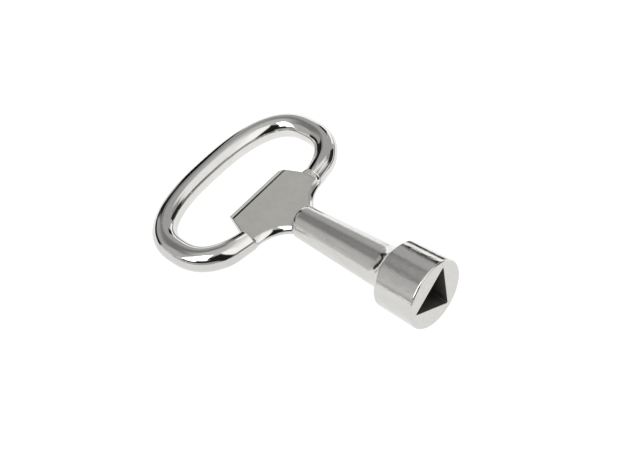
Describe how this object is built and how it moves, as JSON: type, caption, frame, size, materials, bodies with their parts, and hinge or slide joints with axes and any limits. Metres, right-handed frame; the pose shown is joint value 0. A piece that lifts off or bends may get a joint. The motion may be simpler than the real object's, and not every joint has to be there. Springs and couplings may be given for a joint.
{
  "type": "triangular socket key",
  "caption": "Plated one-piece key with a closed oval finger loop, a flat web, a tapered round stem and a round head with a triangular socket.",
  "frame": {"origin": "centre of the socket's floor, where the end of a triangular spindle seats", "axes": "+X along the stem's axis and out of the socket's mouth, +Z square to the flat web and the loop, +Y across the loop"},
  "size_m": [0.0666, 0.047, 0.015],
  "materials": {
    "loop_plating": "nickel-chrome plated zinc casting, mirror polished",
    "web_plating": "nickel-chrome plated zinc casting, satin flat",
    "stem_plating": "nickel-chrome plated zinc casting, satin, brushed along the stem",
    "head_plating": "nickel-chrome plated zinc casting, satin round with a finer end face and a dull socket"
  },
  "bodies": {
    "root": {"loop_handle": "loop_plating", "web_plate": "web_plating", "stem": "stem_plating", "socket_head": "head_plating"}
  },
  "joints": []
}
